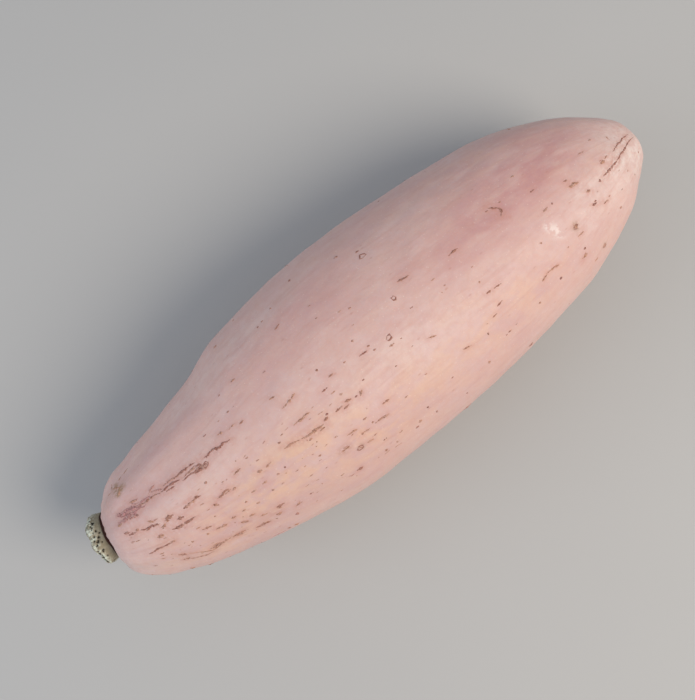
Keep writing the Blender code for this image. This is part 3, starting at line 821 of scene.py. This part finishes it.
def drawn(draw, least, spread, power=1.0):
    """A random number from the least value up, bunched towards it by the power."""
    return least + spread * draw.random() ** power


def stray_spot(draw):
    """One small spot on the sides that are turned away."""
    at = drawn(draw, *HIDDEN_ALONG)
    turn = drawn(draw, *HIDDEN_ROUND)
    size = drawn(draw, 0.8, 1.1, 2.0)
    trail = straight_trail(at, turn, size * drawn(draw, 1.2, 1.0), 0.0)
    return trail, size, SPOT_HEIGHT, drawn(draw, 0.3, 0.7)


def stray_mark(draw, along, bunching, around, length, drift, width, rise, tint):
    """One short streak or dash in a stretch of the skin."""
    at = drawn(draw, *along, bunching)
    turn = drawn(draw, *around)
    trail = straight_trail(at, turn, drawn(draw, *length, 2.0), drift * (draw.random() - 0.5))
    return trail, drawn(draw, *width), rise, drawn(draw, *tint)


def build_spots():
    """The spots of the table, and the stray ones."""
    draw = np.random.default_rng(SPOT_SEED)
    crusts = []
    for at, turn, length, width in SPOTS:
        crusts.append((straight_trail(at, turn, length * 1.2, 0.0), width, SPOT_HEIGHT, 0.8 * draw.random()))
    crusts += [stray_spot(draw) for _ in range(STRAY_SPOTS)]
    for count, *ranges in STRAY_MARKS:
        crusts += [stray_mark(draw, *ranges) for _ in range(count)]
    lay_crusts("corky_spots", crusts, CRACK_CORK)


build_spots()

# Blossom scar.
# Where the flower dropped off, the tip healed over with a thin round cap of tan cork. It is sunk in
# the end of the rind, uneven at its edge and cracked outwards from a small pit in its middle.
CAP_SIDES = 120
CAP_RINGS = 60
CAP_REACH = 6.0
CAP_HEIGHT = 0.55
CAP_CRACKS = 11
CAP_CRACK_DEPTH = 0.3
CAP_PIT_DEPTH = 0.25
CAP_PIT_REACH = 1.1


def build_blossom_scar():
    """A flat closed ball laid on the tip, with cracks that start outside its pit."""
    mesh, share, turn = rolled_sphere("scar", CAP_SIDES, CAP_RINGS)
    edge = 1.0 + 0.08 * np.cos(3.0 * turn + 0.8) + 0.03 * np.cos(7.0 * turn) + 0.03 * np.cos(16.0 * turn)
    reach = CAP_REACH * edge * np.sin(math.pi * share)
    level = np.cos(math.pi * share)
    spots = np.column_stack((reach * np.cos(turn), reach * np.sin(turn), np.zeros(len(turn))))
    crack = np.clip(np.cos(CAP_CRACKS * turn + 2.2 * noise_at(spots, 0.5, 2)), 0.0, 1.0) ** 8
    crack = crack * np.clip(reach / CAP_REACH * 2.0 - 0.4, 0.0, 1.0)
    crumbs = 0.18 * noise_at(spots, 0.9, 3) + 0.12 * noise_at(spots, 2.2, 4)
    dents = crumbs - CAP_CRACK_DEPTH * crack - CAP_PIT_DEPTH * fade(reach, CAP_PIT_REACH)
    lift = CAP_HEIGHT * np.sign(level) * np.abs(level) ** 0.45
    lift = lift + np.clip(level * 3.0, 0.0, 1.0) * dents
    finish_mesh(mesh, grown_skin(SKIN_LENGTH - reach, turn, lift) * MM)
    add_attribute(mesh, "tint", 0.45 * (1.0 - crack) * (1.0 - fade(reach, 1.6)))
    place_piece("blossom_scar", mesh, CRACK_CORK)


build_blossom_scar()

# Stem.
# A short plug of cork, cut off close to the fruit: a smooth tan flank in the basin, flaring to a
# rough, pale rim full of pits, with a dished cut end round the pith. It grew out of the fruit.
STEM_GAP = 0.3
# Distance from the seat and radius, over the flank, the rim and the cut end.
STEM_PROFILE = (
    (0, 0), (0, 19.4), (0.8, 20.2), (3, 20.4), (6, 20.8), (9, 21.9), (11.5, 23.2), (13.8, 23.8),
    (16, 23.4), (17.8, 21.8), (18.8, 19.4), (18.9, 16), (18.2, 12), (17.4, 7.6), (16, 4), (13.9, 0),
)
STEM_DEPTH = STEM_PROFILE[-1][0]
STEM_STEPS = 10
STEM_SLANT = math.tan(math.radians(6.0))
STEM_LEAN = 2.7  # how far the cut end leans to the -Y side
STEM_LOBES = 7
STEM_LOBE_HEIGHT = 0.7
STEM_SIDES = 300
STEM_RINGS = 260
# How high the painted shade of the crevice between the rind and the plug climbs the plug, over a little
# brown at its foot, by degrees round it.
CREVICE_SHADE_HEIGHTS = (
    (0, 6.8), (30, 6.9), (60, 6.3), (90, 5.7), (125, 5.5), (160, 5.4), (200, 4.6), (300, 4.6), (360, 6.8),
)
FLANK = (0.8, 3.0)  # distance from the seat at which the flank roughens, and how soon it is full
# Runs over the surface at which the rim and the cut end begin, and how soon they are full.
RIM = (29.5, 4.0)
CUT_END = (41.0, 3.0)
# Larger holes and dents in the rim: run over the surface, degrees round, reach.
HOLES = (
    (31.8, 44, 1.3), (31.6, 49, 1.2), (30, 67, 1), (27.6, 75, 0.8), (29.6, 84, 1.4), (31.8, 93, 1.5),
    (33.8, 99, 1.3), (31.5, 115, 1.3), (32, 119, 1), (36.6, 111, 1.2), (37.4, 119, 1.7), (38.2, 126, 1.9),
    (38, 134, 2), (37.4, 142, 2.1), (36.6, 150, 1.8), (32.6, 58, 0.9), (33.6, 53, 1), (34.6, 87, 1.1),
    (28.6, 98, 0.8), (33, 78, 1), (35.4, 30, 1.2), (31, 168, 1.1), (34, 200, 1.6), (31, 232, 1.2),
    (36, 262, 1.8), (32.4, 290, 1.3), (35, 322, 1.5), (30, 345, 1),
)
PIT_SEED = 7
RIM_PITS = 46
END_PITS = 40
PIT_DEPTH = 1.2
BUNDLES = 10  # thick strands that carried sap, seen as a ring of holes in the cut end
BUNDLE_RADIUS = 12.5
BUNDLE_REACH = 1.1
PITH_RADIUS = 7.5
FURROWS = 31
FURROW_DEPTH = 0.6
NECK_AT = 4.8
NECK_REACH = 1.4
NECK_DEPTH = 0.7
STEM_TAN = (0.300, 0.262, 0.180)
STEM_LIGHT = (0.410, 0.358, 0.262)
STEM_OLIVE = (0.250, 0.265, 0.178)
# Pale dry cork on the crests of the rim, with a painted highlight laid over it.
CREST_PALE_AND_HIGHLIGHT = (0.640, 0.665, 0.550)
CUT_DRY = (0.330, 0.262, 0.168)
PITH_BROWN = (0.200, 0.140, 0.085)
# Dark brown painted as the shade in the furrows.
FURROW_SHADE = (0.130, 0.095, 0.055)
# Near-black painted as the shade inside the pits, holes and cut sap strands.
PIT_SHADE = (0.022, 0.018, 0.012)
# Near-black painted as the shade of the crevice round the plug's foot, over a little brown.
CREVICE_SHADE_DARK = (0.060, 0.020, 0.014)


def stem_profile():
    """The plug's outline as rows of (distance from the seat, radius, run)."""
    points = [Vector((d, r, 0.0)) for d, r in STEM_PROFILE]
    ends = [points[0] - Vector((1.0, 0.0, 0.0))] + points + [points[-1] + Vector((-1.0, -2.0, 0.0))]
    rows = np.maximum(np.array(curve_rows(ends, STEM_STEPS))[:, :2], 0.0)
    runs = np.hypot(np.diff(rows[:, 0]), np.diff(rows[:, 1]))
    return np.column_stack((rows, np.concatenate(([0.0], np.cumsum(runs)))))


def plug_at(profile, run):
    """Distance from the seat and radius of the plug at a run over its surface."""
    return np.array([np.interp(run, profile[:, 2], profile[:, k]) for k in range(2)])


def stem_material():
    """Cork: tan and olive on the flank, pale grey-green with a painted highlight on the crests of the rim,
    painted shade in the pits, the furrows and the crevice at its foot.
    """
    paint = Paint("stem_cork", STEM_TAN, 0.86, 0.25)
    tone = paint.noise(90.0, 4.0, 0.6)
    paint.lay(paint.spread(tone, 0.3, 0.7), STEM_LIGHT)
    green = paint.noise(40.0, 2.0, 0.5)
    paint.lay(paint.spread(green, 0.45, 0.7, 0.0, 0.6), STEM_OLIVE)
    chalk = paint.noise(240.0, 4.0, 0.7)
    crest = paint.times(paint.attribute("rough"), paint.spread(chalk, 0.44, 0.58))
    # Pale cork with a painted highlight on the crests of the rim's bumps.
    paint.lay(crest, CREST_PALE_AND_HIGHLIGHT)
    dry = paint.times(paint.attribute("end"), paint.spread(tone, 0.25, 0.75, 0.25, 0.85))
    paint.lay(dry, CUT_DRY)
    paint.lay(paint.times(paint.attribute("pith"), 0.6), PITH_BROWN)
    # Painted shade in the furrows.
    paint.lay(paint.times(paint.attribute("furrow"), 0.42), FURROW_SHADE)
    # Painted shade inside the pits, holes and cut sap strands.
    paint.lay(paint.attribute("pit"), PIT_SHADE)
    # Painted shade of the crevice between the plug and the rind.
    paint.lay(paint.attribute("crevice_shade"), CREVICE_SHADE_DARK)
    fine = paint.noise(900.0, 4.0, 0.7)
    paint.roughen(paint.plus(fine, paint.times(chalk, 0.8)), 0.8, 0.0007)
    return paint.material


def stem_pits(run, turn, radius, profile, ragged):
    """How deep in a pit, a hole or a cut sap strand each point lies, from nothing to one."""
    draw = np.random.default_rng(PIT_SEED)
    pit = np.zeros(len(run))
    bands = ((RIM_PITS, 31.0, 40.5, 0.5), (END_PITS, 41.0, profile[-1, 2] - 5.0, 0.35))
    for count, low, high, least in bands:
        for _ in range(count):
            at = low + (high - low) * draw.random()
            angle = math.tau * draw.random() - math.pi
            size = least + 1.0 * draw.random() ** 2
            gap = np.hypot(run - at, wrapped(turn - angle) * radius * 0.8) * ragged
            pit = np.maximum(pit, fade(gap, size))
    for at, degrees, reach in HOLES:
        gap = np.hypot(run - at, wrapped(turn - math.radians(degrees)) * radius) * ragged
        pit = np.maximum(pit, fade(gap, reach))
    ring_run = profile[np.argmax((profile[:, 2] > 42.0) & (profile[:, 1] < BUNDLE_RADIUS)), 2]
    for number in range(BUNDLES):
        away = wrapped(turn - math.tau * (number + 0.3 * draw.random()) / BUNDLES)
        gap = np.hypot((run - ring_run) * 0.7, away * radius)
        pit = np.maximum(pit, 0.8 * fade(gap, BUNDLE_REACH))
    return pit


def stem_furrows(turn, distance, radius, spots, rough, on_end):
    """Lengthwise furrows, faint on the flank and deeper on the rim, which stop short of the pith."""
    sway = 3.0 * np.sin(4.0 * turn) + 0.25 * distance + 1.6 * noise_at(spots, 0.12, 8)
    furrow = np.clip(np.cos(FURROWS * turn + sway), 0.0, 1.0) ** 6
    furrow = furrow * ramp(distance, *FLANK) * (0.35 + 0.65 * rough)
    furrow = furrow * np.clip(0.75 + 0.9 * noise_at(spots, 0.3, 9), 0.0, 1.0)
    return furrow * (1.0 - on_end * ramp(11.0 - radius, 0.0, 4.0))


def stem_points(ahead, across, turn):
    """Points of the plug in millimetres, standing in its seat and leaning to one side."""
    foot = np.array((SEAT_ALONG - ORIGIN_ALONG, STATIONS[0][2] - ORIGIN_ACROSS, AXIS_HEIGHT))
    outwards = np.array((-math.cos(SEAT_TURN), math.sin(SEAT_TURN), 0.0))
    aside = np.array((math.sin(SEAT_TURN), math.cos(SEAT_TURN), 0.0))
    up = np.array((0.0, 0.0, 1.0))
    ahead = ahead + STEM_SLANT * across * np.cos(turn) * ahead / STEM_DEPTH
    lean = -STEM_LEAN * ahead / STEM_DEPTH
    points = foot + outwards * (ahead + STEM_GAP)[:, None]
    return points + aside * (across * np.cos(turn) + lean)[:, None] + up * (across * np.sin(turn))[:, None]


def build_stem():
    """Draw a closed ball out into the plug and crumple, furrow and pit its surface."""
    mesh, share, turn = rolled_sphere("stem", STEM_SIDES, STEM_RINGS)
    profile = stem_profile()
    run = np.interp(share, (0.0, 0.06, 1.0), (0.0, 18.0, profile[-1, 2]))
    distance, radius = plug_at(profile, run)
    rising, widening = plug_at(profile, run + 0.4) - plug_at(profile, run - 0.4)
    steep = np.hypot(rising, widening) + 1e-9
    rough = ramp(run, *RIM)
    on_end = ramp(run, *CUT_END)
    spots = np.column_stack((distance, radius * np.cos(turn), radius * np.sin(turn)))
    lobes = STEM_LOBE_HEIGHT * np.cos(STEM_LOBES * turn) * np.minimum(1.0, distance / 6.0) * radius / 23.8
    crumple = 0.55 * noise_at(spots, 0.22, 3) + 0.75 * rough * noise_at(spots, 0.62, 4)
    crumple += 0.5 * rough * noise_at(spots, 1.5, 5)
    furrow = stem_furrows(turn, distance, radius, spots, rough, on_end)
    pit = stem_pits(run, turn, radius, profile, 1.0 + 0.5 * noise_at(spots, 0.9, 12))
    lift = lobes + crumple * ramp(distance, *FLANK) - FURROW_DEPTH * furrow - PIT_DEPTH * pit
    lift = lift - NECK_DEPTH * fade(distance - NECK_AT, NECK_REACH)
    lift = np.where(distance < FLANK[0], np.minimum(lift, 0.0), lift)
    ahead = distance - lift * widening / steep * np.where(run > 19.0, 1.0, 0.0)
    finish_mesh(mesh, stem_points(ahead, radius + lift * rising / steep, turn) * MM)
    add_attribute(mesh, "rough", rough)
    add_attribute(mesh, "end", on_end)
    add_attribute(mesh, "pith", on_end * ramp(PITH_RADIUS + noise_at(spots, 0.4, 11) - radius, 0.0, 2.0))
    # How high the painted shade of the crevice climbs at each place round the plug.
    crevice_shade = np.interp(np.degrees(turn) % 360.0, *zip(*CREVICE_SHADE_HEIGHTS)) + 0.3 * np.sin(5.0 * turn)
    add_attribute(mesh, "crevice_shade", ramp(crevice_shade - distance, 0.0, 0.8))
    # Mask of the painted shade in the furrows.
    add_attribute(mesh, "furrow", furrow)
    # Mask of the painted shade in the pits, holes and sap strands.
    add_attribute(mesh, "pit", np.clip(pit * 1.7 - 0.4, 0.0, 1.0))
    piece = place_piece("cork_stem", mesh, stem_material())
    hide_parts("stem")


build_stem()

# Floor.
# A plain pale floor that the squash lies on, cast in one sheet with a faint cloudy shade. It isn't part
# of the object.
FLOOR_SIZE = 60.0
FLOOR_COLOUR = (0.46, 0.455, 0.44)
FLOOR_SHADE = (0.42, 0.415, 0.40)


def build_floor():
    """One wide square under the squash, for the stage only."""
    bm = bmesh.new()
    bmesh.ops.create_grid(bm, x_segments=1, y_segments=1, size=FLOOR_SIZE / 2.0)
    mesh = bpy.data.meshes.new("floor")
    bm.to_mesh(mesh)
    bm.free()
    paint = Paint("plain_floor", FLOOR_COLOUR, 0.9, 0.2)
    paint.lay(paint.spread(paint.noise(3.0, 3.0, 0.55), 0.3, 0.7, 0.0, 0.12), FLOOR_SHADE)
    mesh.materials.append(paint.material)
    floor = add_object("floor", mesh)


build_floor()

# Light.
# A broad warm lamp on the -Y side towards the blossom end, a weak cool lamp opposite that fills the
# shade at the stem end, and a cool even sky.
AIM = (0.0, 0.0, 0.1)
KEY_PLACE = (0.95, -1.45, 1.90)
KEY_SIZE = 1.5
KEY_POWER = 50.0
KEY_COLOUR = (1.0, 0.90, 0.78)
FILL_PLACE = (-1.9, 0.75, 1.1)
FILL_SIZE = 1.6
FILL_POWER = 16.0
FILL_COLOUR = (0.86, 0.92, 1.0)
SKY_COLOUR = (0.80, 0.87, 1.0, 1.0)
SKY_STRENGTH = 0.51


def add_lamp(name, place, size, power, colour):
    """A round soft lamp aimed at the middle of the squash."""
    lamp = bpy.data.lights.new(name, "AREA")
    lamp.shape = "DISK"
    lamp.size = size
    lamp.energy = power
    lamp.color = colour
    stand = add_object(name, lamp)
    stand.location = place
    stand.rotation_euler = (Vector(AIM) - Vector(place)).to_track_quat("-Z", "Y").to_euler()


def build_lights():
    """Both lamps, and the sky behind all."""
    add_lamp("key", KEY_PLACE, KEY_SIZE, KEY_POWER, KEY_COLOUR)
    add_lamp("fill", FILL_PLACE, FILL_SIZE, FILL_POWER, FILL_COLOUR)
    world = bpy.data.worlds.new("sky")
    world.use_nodes = True
    sky = world.node_tree.nodes["Background"]
    sky.inputs["Color"].default_value = SKY_COLOUR
    sky.inputs["Strength"].default_value = SKY_STRENGTH
    bpy.context.scene.world = world
    bpy.context.scene.view_settings.view_transform = "Standard"


build_lights()

# Camera.
# It looks almost straight down from under a metre, with the squash lying across the frame from lower
# left to upper right.
CAMERA_PLACE = (-0.0329, -0.0539, 0.8605)
CAMERA_TILT = (4.16, 2.12, -39.38)
CAMERA_ANGLE = 45.0


def build_camera():
    """The one camera, with everything in focus."""
    data = bpy.data.cameras.new("camera")
    data.sensor_fit = "VERTICAL"
    data.angle_y = math.radians(CAMERA_ANGLE)
    camera = add_object("camera", data)
    camera.location = CAMERA_PLACE
    camera.rotation_euler = Euler([math.radians(angle) for angle in CAMERA_TILT], "XYZ")
    bpy.context.scene.camera = camera


build_camera()
